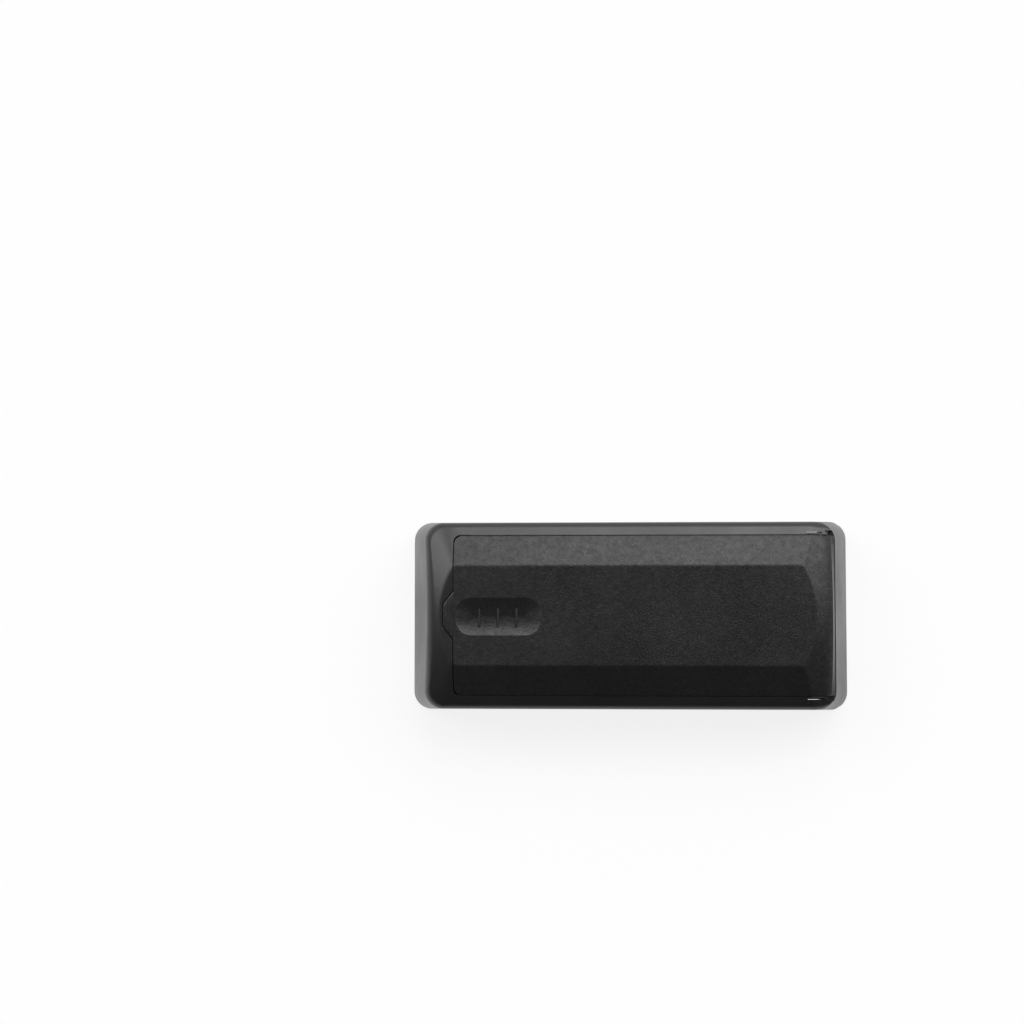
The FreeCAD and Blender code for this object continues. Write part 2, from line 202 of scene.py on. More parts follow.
def tray_section(wall_at, mouth, inside, kind, track=TRACK, blend=0.0):
    """Corners of the tray's section at one place round the moulding, from the foot over the rim,
    down through the groove and over the floor to the platform."""
    cavity = outline(inside, CAVITY)
    platform = outline(inside, PLATFORM)
    top = outline(inside, (PLATFORM[0] + TOP_INSET, PLATFORM[1] - TOP_INSET,
                           PLATFORM[2] - TOP_INSET, TOP_CORNER))
    under = outline(wall_at, (-END + FOOT_INSET, END - FOOT_INSET, SIDE - FOOT_INSET,
                              CORNER_RADIUS - FOOT_INSET))
    edge = wall(wall_at, LEDGE) if kind in ("tip", "low end") else rim(wall_at)
    roll = SIDE_ROLL + (END_ROLL - SIDE_ROLL) * abs(math.cos(math.radians(wall_at[2]))) ** 1.5
    start = Vector((*mouth, 0.0))
    end = Vector((edge.x, edge.y, 0.0))
    if kind == "hood":
        rows = hood_rows(start, end, blend)
    else:
        rows = [max(r - (mouth[1] - LIP), 0.0) * (kind == "rail") for r in LIP_ROWS]
        rows = [min(r, (end - start).length * (0.2 + 0.13 * i)) for i, r in enumerate(rows)]
    if kind in ("wedge", "tip"):
        rows[-1] = 0.3 * (end - start).length
    if kind == "wedge":
        roll = SIDE_ROLL * min((end - start).length / 2.5, 1.0)
    along = (end - start).normalized() if (end - start).length > 1e-6 else Vector((0, 1, 0))
    spots = [start + along * r for r in (0.0, *rows)]
    ledge = Vector((*cavity, LEDGE))
    if kind == "low end":
        over = [edge.lerp(ledge, 0.7 - 0.08 * i) for i in range(6)]
        groove = [edge.lerp(ledge, 0.74 + 0.04 * i) for i in range(5)]
        roll = LOW_EDGE
    elif kind == "tip":
        over = [Vector((p.x, p.y, LEDGE)) for p in spots]
        groove = [Vector((*mouth, LEDGE))] * 5
        roll = LOW_EDGE
    else:
        over = [Vector((p.x, p.y, float(roof(p.x, p.y)))) for p in spots]
        top_z = min(GROOVE_TOP, over[0].z - 0.02)
        deep = track if kind == "rail" else mouth[1]
        reach = [min(LIP + LIP_ROWS[i], deep) if kind == "rail" else mouth[1] for i in (0, 2)]
        groove = [Vector((mouth[0], y, top_z)) for y in (mouth[1], *reach, deep)]
        groove.append(Vector((mouth[0], deep, LEDGE)))
    return [(Vector((*under, FOOT)), 0, 0), (wall(wall_at, FOOT), FOOT_RADIUS, 3),
            *((wall(wall_at, z), 0, 0) for z in WALL_LINES), (edge, roll, 10),
            *((point, 0, 0) for point in reversed(over[1:])), (over[0], EDGE, 2),
            (groove[0], EDGE, 2), *((point, 0, 0) for point in groove[1:]),
            (groove[-1].lerp(ledge, 0.5), 0, 0), (ledge, EDGE, 3),
            (Vector((*cavity, FLOOR)), WALL_FILLET, 3),
            (Vector((*platform, FLOOR)), PLATFORM_FILLET, 2),
            (Vector((*platform, PLATFORM_TOP)), PLATFORM_RADIUS, 4),
            (Vector((*top, PLATFORM_TOP)), 0, 0)]


def steps_between(a, b, count):
    """Even steps from a towards b, without a itself."""
    return [a + (b - a) * i / count for i in range(1, count + 1)]


def tray_sections():
    """Sections round half the tray, from the middle of the hood to the middle of the low end."""
    found = []
    core_end = END - CORNER_RADIUS - (HEIGHT - RIM_DROP - FOOT) * math.tan(END_DRAFT)
    face_run = 4.0                      # along the hood's face, before the wall's corner begins
    crease_y, crease_turn = 13.6, 99.8  # a section along the hip: its y at the face, its turn at the wall

    # The hood: over the notch's tip, along its slanted side, and along the hood's face. At the wall
    # the sections lie further apart than at the opening, so that they fan out to the corner.
    tip_fan = 1.1
    slant_wall, slant_run = 3.4, 5.0
    face_wall, face_wall_run = 8.4, 12.0
    for y in (0.0, 1.2, 2.3, NOTCH_TIP - 0.25, NOTCH_TIP):
        found.append(tray_section((-END, y * tip_fan, 180), (NOTCH_X, y), (-END, y, 180), "hood"))
    for t in (0.06, 0.3, 0.55, 0.8, 0.95, 1.0):
        x = NOTCH_X + (HOOD_FACE - NOTCH_X) * t
        y = NOTCH_TIP + (NOTCH_ROOT - NOTCH_TIP) * t
        found.append(tray_section((-END, slant_wall + slant_run * t, 180), (x, y), (-END, y, 180), "hood"))
    for t in steps_between(0.0, 1.0, 5):
        y = NOTCH_ROOT + face_run * t
        wall_at = (-END, face_wall + face_wall_run * t, 180)
        found.append(tray_section(wall_at, (HOOD_FACE, y), (-END, y, 180), "hood"))
    for t in steps_between(0.0, 1.0, 9):
        y = NOTCH_ROOT + face_run + (crease_y - NOTCH_ROOT - face_run) * t
        turn = 180 + (crease_turn - 180) * t
        found.append(tray_section((-END, SIDE, turn), (HOOD_FACE, y), (-END, y, 180), "hood"))
    corner_y = LIP - OPENING_CORNER
    for t in steps_between(0.0, 1.0, 8):
        y = crease_y + (corner_y - crease_y) * t
        turn = max(crease_turn + (90 - crease_turn) * t * 2.0, 90)
        x = -core_end + (HOOD_FACE + core_end) * max(t - 0.5, 0.0) / 0.5
        wall_at = (-END, SIDE, turn) if turn > 90 else (x, SIDE, 90)
        found.append(tray_section(wall_at, (HOOD_FACE, y), (-END, y, 180), "hood", blend=0.8 * t))
    for turn in steps_between(0.0, 90.0, 6):
        x = HOOD_FACE + OPENING_CORNER * (1 - math.cos(math.radians(turn)))
        y = corner_y + OPENING_CORNER * math.sin(math.radians(turn))
        wall_x = HOOD_FACE + OPENING_CORNER * turn / 90
        found.append(tray_section((wall_x, SIDE, 90), (x, y), (-END, SIDE, 180 - turn), "hood",
                                  blend=0.8 + 0.2 * turn / 90))

    # The rail, to its mouth.
    def turn_at(x):
        return math.degrees(math.acos(max((x - core_end) / CORNER_RADIUS, 0.0)))

    # Each place along it is x at the lip, x at the wall, and the wall of the groove there.
    nub = [DETENT[0] - DETENT_RAMP, DETENT[0], DETENT[1], DETENT[1] + DETENT_RAMP]
    straight = (HOOD_FACE + OPENING_CORNER, *nub, -39.3, -15, 15, 39.3, 44, WINDOW_START)
    rail = [(x, x, TRACK) for x in straight]
    rail += [(47.7, 48.0, TRACK), (48.14, 48.8, TRACK), (48.6, 49.2, TRACK), (50.2, 50.4, TRACK)]
    rail += [(STOP, STOP, TRACK), (STOP, STOP, GROOVE), (MOUTH, MOUTH, GROOVE)]
    window = []
    for x, wall_x, track in rail:
        if track == TRACK and x >= WINDOW_START:
            window.append(len(found))
        wall_at = (wall_x if wall_x < core_end else END, SIDE, turn_at(wall_x))
        lip = LIP - DETENT[2] * (DETENT[0] <= x <= DETENT[1])
        found.append(tray_section(wall_at, (x, lip), (x, SIDE, 90), "rail", track))

    # Past the mouth the wall runs to a wedge, drops straight down at its tip, and then the low end
    # wall crosses over. Near the rim the draft has drawn the side wall in by this much.
    drawn_in = 1.06
    tip_turn = math.degrees(math.asin((GROOVE - (SIDE - CORNER_RADIUS - drawn_in)) / CORNER_RADIUS))
    tip_x = core_end + CORNER_RADIUS * math.cos(math.radians(tip_turn))
    for x in (MOUTH, *steps_between(MOUTH, tip_x, 2)):
        wall_at = (END, SIDE, max(turn_at(x), tip_turn))
        found.append(tray_section(wall_at, (x, GROOVE), (END, SIDE, 90), "wedge"))
    found.append(tray_section((END, SIDE, tip_turn), (tip_x, GROOVE), (END, SIDE, 90), "tip"))
    for t in (0.0, 0.15, 0.4, 0.7, 1.0):
        wall_at = (END, SIDE, tip_turn * (1 - t))
        found.append(tray_section(wall_at, (tip_x, GROOVE), (END, SIDE, 90 * (1 - t)), "low end"))
    for y in (14.0, 7.0, 0.0):
        found.append(tray_section((END, y, 0), (tip_x, y), (END, y, 0), "low end"))
    return found, window


def quads(first, second):
    """Faces between two rows of vertices of one length."""
    return [(a, b, d, c) for a, b, c, d in zip(first, first[1:], second, second[1:])]


def face(mesh, corners):
    """A face through the corners that lie apart, or none if fewer than three do."""
    apart = []
    for corner in corners:
        if all((corner.co - other.co).length > 1e-4 for other in apart):
            apart.append(corner)
    if len(apart) > 2 and not mesh.faces.get(apart):
        mesh.faces.new(apart)


def loop_of(mesh, points):
    """A closed ring of edges through points, and its vertices."""
    ring = [mesh.verts.new(p) for p in points]
    edges = [mesh.edges.new(pair) for pair in zip(ring, ring[1:] + ring[:1])]
    return ring, edges


def rectangle(x0, x1, y0, y1, z, radius, steps=3):
    """Points round a rectangle with rounded corners."""
    points = []
    for cx, cy, start in ((x1, y1, 0), (x0, y1, 90), (x0, y0, 180), (x1, y0, 270)):
        cx -= math.copysign(radius, cx - (x0 + x1) / 2)
        cy -= math.copysign(radius, cy - (y0 + y1) / 2)
        for i in range(steps + 1):
            turn = math.radians(start + 90 * i / steps)
            points.append(Vector((cx + radius * math.cos(turn), cy + radius * math.sin(turn), z)))
    return points


def underside_holes():
    """The two magnet pockets and the ribbed hollows under the ends, each as its mouth and its top:
    low x, high x, low y, high y, and the low and high x and the height of the top."""
    holes = []
    length, across, ceiling = POCKET
    for x in (-POCKET_PITCH / 2, POCKET_PITCH / 2):
        holes.append((x - length, x + length, -across, across, x - length, x + length, ceiling))
    side = CAVITY[2] - HOLLOW_SIDE
    width = 2 * side / (HOLLOW_RIBS + 1)
    for i in range(HOLLOW_RIBS + 1):
        y0 = -side + i * width + (HOLLOW_RIB / 2 if i else 0.0)
        y1 = -side + (i + 1) * width - (HOLLOW_RIB / 2 if i < HOLLOW_RIBS else 0.0)
        for hollow in (LOW_HOLLOW, HOOD_HOLLOW):
            holes.append((*hollow[:2], y0, y1, *hollow[2:]))
    return holes


def finished(name, mesh, angle=32):
    """A new object from mesh code in millimetres: merged, facing outwards, smooth but for its edges."""
    bmesh.ops.remove_doubles(mesh, verts=mesh.verts, dist=2e-4)
    bmesh.ops.dissolve_degenerate(mesh, edges=mesh.edges, dist=1e-4)
    bmesh.ops.recalc_face_normals(mesh, faces=mesh.faces)
    bmesh.ops.scale(mesh, vec=(MM, MM, MM), verts=mesh.verts)
    data = bpy.data.meshes.new(name)
    mesh.to_mesh(data)
    mesh.free()
    data.polygons.foreach_set("use_smooth", [True] * len(data.polygons))
    data.set_sharp_from_angle(angle=math.radians(angle))
    piece = bpy.data.objects.new(name, data)
    bpy.context.scene.collection.objects.link(piece)
    flat = piece.modifiers.new("flat_faces", "WEIGHTED_NORMAL")
    flat.keep_sharp = True
    return piece


def tray_mesh():
    """Sections joined round the tray, with its windows, platform top and underside."""
    mesh = bmesh.new()
    half, window = tray_sections()
    paths = [rounded(section) for section in half]
    mirrored = [[Vector((p.x, -p.y, p.z)) for p in path] for path in reversed(paths[1:-1])]
    rings = [[mesh.verts.new(p) for p in path] for path in paths + mirrored]

    # Corners of the section between which a window goes through the lip's top, through the groove's
    # top and on through the groove's bottom, as rows of the mesh.
    counts = [0] + [steps + 1 if 0 < i < len(half[0]) - 1 else 1 for i, (_, _, steps) in enumerate(half[0])]
    row_of = np.cumsum(counts)
    roof_rows = row_of[7], row_of[9]
    groove_rows = row_of[12], row_of[13]
    ledge_rows = row_of[15], row_of[16]
    across = {(i, i + 1) for i in window[:-1]}
    total = len(rings)
    across |= {((total - i - 1) % total, (total - i) % total) for i in window[:-1]}
    for i in range(total):
        here, on = rings[i], rings[(i + 1) % total]
        for j in range(len(here) - 1):
            in_window = any(low <= j < high for low, high in (roof_rows, groove_rows, ledge_rows))
            if (i, (i + 1) % total) in across and in_window:
                continue
            face(mesh, (here[j], here[j + 1], on[j + 1], on[j]))
    for pair in across:
        a, b = (rings[i] for i in pair)
        face(mesh, (a[roof_rows[1]], b[roof_rows[1]], b[groove_rows[0]], a[groove_rows[0]]))
        face(mesh, (a[roof_rows[0]], b[roof_rows[0]], b[groove_rows[1]], a[groove_rows[1]]))
    for i in (window[0], window[-1], total - window[0], total - window[-1]):
        ring = rings[i]
        upper = [ring[j] for j in range(roof_rows[0], roof_rows[1] + 1)]
        face(mesh, upper + [ring[groove_rows[0]], ring[groove_rows[1]]])
    mesh.faces.new([ring[-1] for ring in rings])

    # Under each window a hole goes on to the foot, where the mould's core for the track comes out.
    for ends in (window, [total - i for i in window]):
        top = [rings[i][ledge_rows[0]] for i in ends] + [rings[i][ledge_rows[1]] for i in reversed(ends)]
        inner_y = abs(top[-1].co.y)
        foot = []
        for x, y, _ in (vertex.co for vertex in top):
            share = (x - WINDOW_START) / (STOP - WINDOW_START), (abs(y) - inner_y) / (TRACK - inner_y)
            wide = abs(y) + SHAFT_FLARE[1] * share[1]
            foot.append(mesh.verts.new((x + SHAFT_FLARE[0] * share[0], math.copysign(wide, y), FOOT)))
        for quad in quads(top + top[:1], foot + foot[:1]):
            face(mesh, quad)

    # The underside: a flat between the foot and the mouths of the pockets and hollows.
    bmesh.ops.remove_doubles(mesh, verts=mesh.verts, dist=2e-4)
    edges = [edge for edge in mesh.edges if edge.is_boundary]
    for x0, x1, y0, y1, top_x0, top_x1, top in underside_holes():
        rim_points = rectangle(x0 - MOUTH_CHAMFER, x1 + MOUTH_CHAMFER, y0 - MOUTH_CHAMFER,
                               y1 + MOUTH_CHAMFER, FOOT, 0.7)
        mouth, mouth_edges = loop_of(mesh, rim_points)
        edges += mouth_edges
        throat = [mesh.verts.new(p) for p in rectangle(x0, x1, y0, y1, FOOT + MOUTH_DEPTH, 0.5)]
        ceiling = [mesh.verts.new(p) for p in rectangle(top_x0, top_x1, y0, y1, top, 0.1)]
        for lower, upper in ((mouth, throat), (throat, ceiling)):
            for quad in quads(lower + lower[:1], upper + upper[:1]):
                mesh.faces.new(quad)
        mesh.faces.new(ceiling)
    bmesh.ops.triangle_fill(mesh, use_beauty=True, use_dissolve=True, edges=edges)
    return mesh


tray = finished("tray_moulding", tray_mesh())
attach(tray, "box")
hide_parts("tray")


def colour(code):
    """Linear colour of an sRGB hex value."""
    parts = [int(code[i:i + 2], 16) / 255 for i in (1, 3, 5)]
    return [c / 12.92 if c < 0.04045 else ((c + 0.055) / 1.055) ** 2.4 for c in parts] + [1.0]


def add(tree, kind, inputs=None, **settings):
    """One node with its settings, and its inputs set to values or linked from sockets."""
    node = tree.nodes.new(kind)
    for name, value in settings.items():
        setattr(node, name, value)
    for name, value in (inputs or {}).items():
        if isinstance(value, bpy.types.NodeSocket):
            tree.links.new(value, node.inputs[name])
        else:
            node.inputs[name].default_value = value
    return node


def bare_material(name):
    """A new material, and its emptied node tree."""
    material = bpy.data.materials.new(name)
    material.use_nodes = True
    material.node_tree.nodes.clear()
    return material, material.node_tree


def black_abs(name, grain, grain_depth, roughness, gloss, wear):
    """Black ABS from a spark-eroded mould: nearly black with a soft sheen, broken up by the grain
    that the eroded steel leaves. Handling has clouded the sheen. The sizes are in millimetres."""
    material, tree = bare_material(name)
    place = add(tree, "ShaderNodeTexCoord").outputs["Object"]

    # Real pits lie about 0.1 to 0.2 mm apart, too fine to show. They are drawn coarser, and on the
    # lid deeper too, so that they show.
    pits = add(tree, "ShaderNodeTexNoise", {"Vector": place, "Scale": 1 / (grain * MM), "Detail": 5.0,
                                            "Roughness": 0.75})
    handled = add(tree, "ShaderNodeTexNoise", {"Vector": place, "Scale": 1 / (22 * MM), "Detail": 4.0,
                                               "Roughness": 0.55})
    patches = add(tree, "ShaderNodeMapRange", {"Value": handled.outputs["Fac"], "From Min": 0.35,
                                               "From Max": 0.65, "To Min": roughness - 0.04,
                                               "To Max": roughness + 0.05})
    tint = add(tree, "ShaderNodeMix", {"Factor": handled.outputs["Fac"], "A": colour("#161616"),
                                       "B": colour("#191919")}, data_type="RGBA")

    # The sheen is clouded over a millimetre or two, where dust and grease lie in the grain.
    smears = add(tree, "ShaderNodeTexNoise", {"Vector": place, "Scale": 1 / (1.5 * MM), "Detail": 5.0,
                                              "Roughness": 0.8})
    sheen = add(tree, "ShaderNodeMapRange", {"Value": smears.outputs["Fac"], "From Min": 0.3,
                                             "From Max": 0.7, "To Min": gloss - wear,
                                             "To Max": gloss + wear})
    relief = add(tree, "ShaderNodeBump", {"Height": pits.outputs["Fac"], "Strength": 1.0,
                                          "Distance": grain_depth * MM})
    shader = add(tree, "ShaderNodeBsdfPrincipled", {"Base Color": tint.outputs["Result"],
                                                    "Roughness": patches.outputs["Result"],
                                                    "Specular IOR Level": sheen.outputs["Result"],
                                                    "IOR": 1.53, "Normal": relief.outputs["Normal"]})
    add(tree, "ShaderNodeOutputMaterial", {"Surface": shader.outputs["BSDF"]})
    return material


tray.data.materials.append(black_abs("spark_eroded_abs_fine", grain=0.35, grain_depth=0.01,
                                     roughness=0.35, gloss=0.5, wear=0.03))


# ---------------------------------------------------------------------------------------------
# Magnet packs. Each is a pressed and ground ferrite block between two zinc-plated steel pole
# strips, held in its pocket under the tray by a foam adhesive pad. The strips' feet stand proud.


def block(mesh, low, high, corner, roll, foot_roll=0.0, steps=3):
    """A closed block between two corners, with rounded upright edges and rolled rims."""
    rings = []
    for i in range(steps + 1):
        turn = math.pi / 2 * i / steps
        rings.append((foot_roll * (1 - math.sin(turn)), low[2] + foot_roll * (1 - math.cos(turn))))
    for i in range(steps + 1):
        turn = math.pi / 2 * i / steps
        rings.append((roll * (1 - math.cos(turn)), high[2] - roll * (1 - math.sin(turn))))
    loops = []
    for inset, z in rings:
        points = rectangle(low[0] + inset, high[0] - inset, low[1] + inset, high[1] - inset, z,
                           max(corner - inset, 0.02))
        loops.append([mesh.verts.new(p) for p in points])
    for lower, upper in zip(loops, loops[1:]):
        for quad in quads(lower + lower[:1], upper + upper[:1]):
            face(mesh, quad)
    face(mesh, loops[0])
    face(mesh, loops[-1])


def ferrite(name):
    """Sintered ferrite, ground on its faces: charcoal grey and matt, with grinding lines and the
    small dark pores of a pressed powder."""
    material, tree = bare_material(name)
    place = add(tree, "ShaderNodeTexCoord").outputs["Object"]
    drawn = add(tree, "ShaderNodeMapping", {"Vector": place, "Scale": (0.04, 1.0, 1.0)})
    lines = add(tree, "ShaderNodeTexNoise", {"Vector": drawn.outputs["Vector"], "Scale": 1 / (0.25 * MM),
                                             "Detail": 2.0})
    pores = add(tree, "ShaderNodeTexVoronoi", {"Vector": place, "Scale": 1 / (0.9 * MM)})
    pore = add(tree, "ShaderNodeMapRange", {"Value": pores.outputs["Distance"], "From Min": 0.05,
                                            "From Max": 0.22})
    cloud = add(tree, "ShaderNodeTexNoise", {"Vector": place, "Scale": 1 / (6 * MM), "Detail": 3.0})
    grey = add(tree, "ShaderNodeMix", {"Factor": cloud.outputs["Fac"], "A": colour("#35363a"),
                                       "B": colour("#46474a")}, data_type="RGBA")
    tint = add(tree, "ShaderNodeMix", {"Factor": pore.outputs["Result"], "A": colour("#1e1f21"),
                                       "B": grey.outputs["Result"]}, data_type="RGBA")
    height = add(tree, "ShaderNodeMath", {0: lines.outputs["Fac"], 1: pore.outputs["Result"]},
                 operation="ADD")
    relief = add(tree, "ShaderNodeBump", {"Height": height.outputs["Value"], "Distance": 0.02 * MM})
    shader = add(tree, "ShaderNodeBsdfPrincipled", {"Base Color": tint.outputs["Result"],
                                                    "Roughness": 0.62, "IOR": 1.7,
                                                    "Normal": relief.outputs["Normal"]})
    add(tree, "ShaderNodeOutputMaterial", {"Surface": shader.outputs["BSDF"]})
    return material


def zinc_plate(name):
    """Cold-rolled strip with bright zinc plating: a bluish silver metal, drawn along its length and
    clouded where the plating is thicker."""
    material, tree = bare_material(name)
    place = add(tree, "ShaderNodeTexCoord").outputs["Object"]
    drawn = add(tree, "ShaderNodeMapping", {"Vector": place, "Scale": (0.03, 1.0, 1.0)})
    lines = add(tree, "ShaderNodeTexNoise", {"Vector": drawn.outputs["Vector"], "Scale": 1 / (0.2 * MM),
                                             "Detail": 3.0})
    cloud = add(tree, "ShaderNodeTexNoise", {"Vector": place, "Scale": 1 / (4 * MM), "Detail": 4.0})
    tint = add(tree, "ShaderNodeMix", {"Factor": cloud.outputs["Fac"], "A": colour("#a4a8ac"),
                                       "B": colour("#c6c9cb")}, data_type="RGBA")
    rough = add(tree, "ShaderNodeMapRange", {"Value": lines.outputs["Fac"], "From Min": 0.3,
                                             "From Max": 0.7, "To Min": 0.26, "To Max": 0.42})
    relief = add(tree, "ShaderNodeBump", {"Height": lines.outputs["Fac"], "Distance": 0.006 * MM})
    shader = add(tree, "ShaderNodeBsdfPrincipled", {"Base Color": tint.outputs["Result"],
                                                    "Metallic": 1.0,
                                                    "Roughness": rough.outputs["Result"],
                                                    "Normal": relief.outputs["Normal"]})
    add(tree, "ShaderNodeOutputMaterial", {"Surface": shader.outputs["BSDF"]})
    return material


def foam_tape(name):
    """Black foam tape: matt, with closed cells that show at its cut edge."""
    material, tree = bare_material(name)
    place = add(tree, "ShaderNodeTexCoord").outputs["Object"]
    cells = add(tree, "ShaderNodeTexVoronoi", {"Vector": place, "Scale": 1 / (0.18 * MM)})
    tint = add(tree, "ShaderNodeMix", {"Factor": cells.outputs["Distance"], "A": colour("#141414"),
                                       "B": colour("#2a2a2a")}, data_type="RGBA")
    relief = add(tree, "ShaderNodeBump", {"Height": cells.outputs["Distance"], "Distance": 0.06 * MM})
    shader = add(tree, "ShaderNodeBsdfPrincipled", {"Base Color": tint.outputs["Result"],
                                                    "Roughness": 0.85, "IOR": 1.45,
                                                    "Normal": relief.outputs["Normal"]})
    add(tree, "ShaderNodeOutputMaterial", {"Surface": shader.outputs["BSDF"]})
    return material


# Material, slot, radius of the upright edges and roll of the rims.
ground = ferrite("ground_ferrite")
plated = zinc_plate("zinc_plated_steel")
PACK_FINISHES = {"magnet": (ground, "ferrite", 0.5, 0.25),
                 "pole_strip_front": (plated, "pole_steel", 0.3, 0.2),
                 "pole_strip_back": (plated, "pole_steel", 0.3, 0.2),
                 "adhesive_pad": (foam_tape("foam_tape"), "adhesive", 0.5, 0.05)}
for number in (1, 2):
    for part, (finish, slot, corner, roll) in PACK_FINISHES.items():
        node = f"{part}_{number}"
        low, high = (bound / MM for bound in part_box(node))
        mesh = bmesh.new()
        block(mesh, low, high, corner, roll, roll)
        piece = finished(f"{node}_body", mesh)
        piece.data.materials.append(finish)
        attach(piece, "box")
        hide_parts(node)


# ---------------------------------------------------------------------------------------------
# Inside label. A film of satin black vinyl, cut with rounded corners and stuck on the platform by
# its own adhesive. It is blank.


def vinyl_film(name):
    """Cast vinyl: a smooth satin black film with a faint orange peel from its adhesive."""
    material, tree = bare_material(name)
    place = add(tree, "ShaderNodeTexCoord").outputs["Object"]
    peel = add(tree, "ShaderNodeTexNoise", {"Vector": place, "Scale": 1 / (1.4 * MM), "Detail": 1.0})
    cloud = add(tree, "ShaderNodeTexNoise", {"Vector": place, "Scale": 1 / (15 * MM), "Detail": 3.0})
    tint = add(tree, "ShaderNodeMix", {"Factor": cloud.outputs["Fac"], "A": colour("#151618"),
                                       "B": colour("#1c1d1f")}, data_type="RGBA")
    relief = add(tree, "ShaderNodeBump", {"Height": peel.outputs["Fac"], "Distance": 0.02 * MM})
    shader = add(tree, "ShaderNodeBsdfPrincipled", {"Base Color": tint.outputs["Result"],
                                                    "Roughness": 0.28, "IOR": 1.5,
                                                    "Normal": relief.outputs["Normal"]})
    add(tree, "ShaderNodeOutputMaterial", {"Surface": shader.outputs["BSDF"]})
    return material


LABEL_CORNER = 1.5
LABEL_ROLL = 0.05
low, high = (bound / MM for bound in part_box("inside_label"))
mesh = bmesh.new()
block(mesh, low, high, LABEL_CORNER, LABEL_ROLL)
label = finished("inside_label_film", mesh)
label.data.materials.append(vinyl_film("satin_vinyl_film"))
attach(label, "box")
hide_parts("inside_label")


# ---------------------------------------------------------------------------------------------
# Sliding lid. A second moulding in the same ABS: a shallow shell under the hip roof, with a runner
# and a stop nib along each side, a tongue at its closing end, and a thumb recess with three ribs.

LID_FACE = -46.7
LID_SIDE = 21.39
LID_END = 53.88
LID_BOW = 900.0                 # the end bows outwards very slightly
LID_CORNERS = (2.2, 0.8)        # at the closing end, and at the far end
LID_FOOT = 18.99
LID_ROLL = 0.09                 # radius on the upper edge
TONGUE_BEVEL = (0.55, 0.42)     # width and fall of the bevel along the tongue
END_ROLL_WIDTH = 2.4            # the far end rolls down over this width
END_ROLL_FALL = 0.4             # and is this much steeper at its edge
SIDE_ROLL_WIDTH = 1.3           # and so do its long edges
SIDE_ROLL_FALL = 0.2
END_FACE_FOOT = 54.67           # its face slants out to the tray's end wall
TONGUE_REACH = 2.75
TONGUE_TIP = 2.95
TONGUE_ROOT = 6.45
LID_WALL = 1.8                  # thickness of the roof
LID_EDGE = 2.6                  # thickness at the edges
STIFFENERS = (-21.61, 3.43, 28.46)
STIFFENER = 1.2
STIFFENER_DROP = 1.2
EDGE_LINES = (0.0, 0.03, 0.08, 0.15, 0.28, 0.45)    # lines of the mesh that follow the lid's edges
RUNNER_ROOT = 0.4               # the runners and nibs start this far within the lid's side
RUNNER_OUT = 22.1
NIB_OUT = 22.6
NIB = (-32.81, -29.01)
RUNNER_TOP = 20.52
SCOOP = (-46.0, -23.3, 5.0, 4.0)        # low x, high x, half width, corner radius
PATCH = (0.2, 0.25, 5.45)       # the flat round the recess: past its two ends, and half its width
SCOOP_RINGS = (-0.1, -0.05, 0.0, 0.05, 0.1, 0.25, 0.5, 0.9, 1.4, 2.0, 2.7, 3.4, 3.9, 4.4, 4.85)
SCOOP_Y = -0.25                 # middle of the recess
SCOOP_DEPTH = 0.95
SCOOP_ENDS = 0.4                # share of the depth that is lost towards its ends
SCOOP_SKEW = 0.45               # it is deeper and steeper towards the front
GRIP_RIBS = (-39.75, -34.8, -29.85)
GRIP = (0.85, 5.4, 24.5)        # width, length and height of the top
GRIP_Y = -0.55


def corner_setback(y, radius):
    """How far a rounded corner draws the lid's end in."""
    past = np.maximum(np.abs(y) - (LID_SIDE - radius), 0.0)
    return radius - np.sqrt(np.maximum(radius ** 2 - past ** 2, 0.0))


def lid_left(y):
    """Closing edge of the lid, with its tongue."""
    slant = TONGUE_REACH * (TONGUE_ROOT - np.abs(y)) / (TONGUE_ROOT - TONGUE_TIP)
    tongue = soft_max(-soft_max(-slant, -TONGUE_REACH, 0.35), 0.0, 0.35)
    return LID_FACE - tongue + corner_setback(y, LID_CORNERS[0])


def lid_right(y):
    """Bowed far edge of the lid."""
    return LID_END - LID_BOW + np.sqrt(LID_BOW ** 2 - y ** 2) - corner_setback(y, LID_CORNERS[1])


def low_crease(y):
    """Where the flat and the long facets meet the roof's low end."""
    out = np.maximum(np.abs(y) - FLAT_SIDE, 0.0) * SIDE_FALL / END_FALL + FLAT_END_RADIUS
    return LOW_CENTRE + np.sqrt(out ** 2 - y ** 2)


def rolled(inset, radius):
    """Drop of an edge with a radius, at an inset from it."""
    past = np.maximum(radius - inset, 0.0)
    return radius - np.sqrt(radius ** 2 - past ** 2)


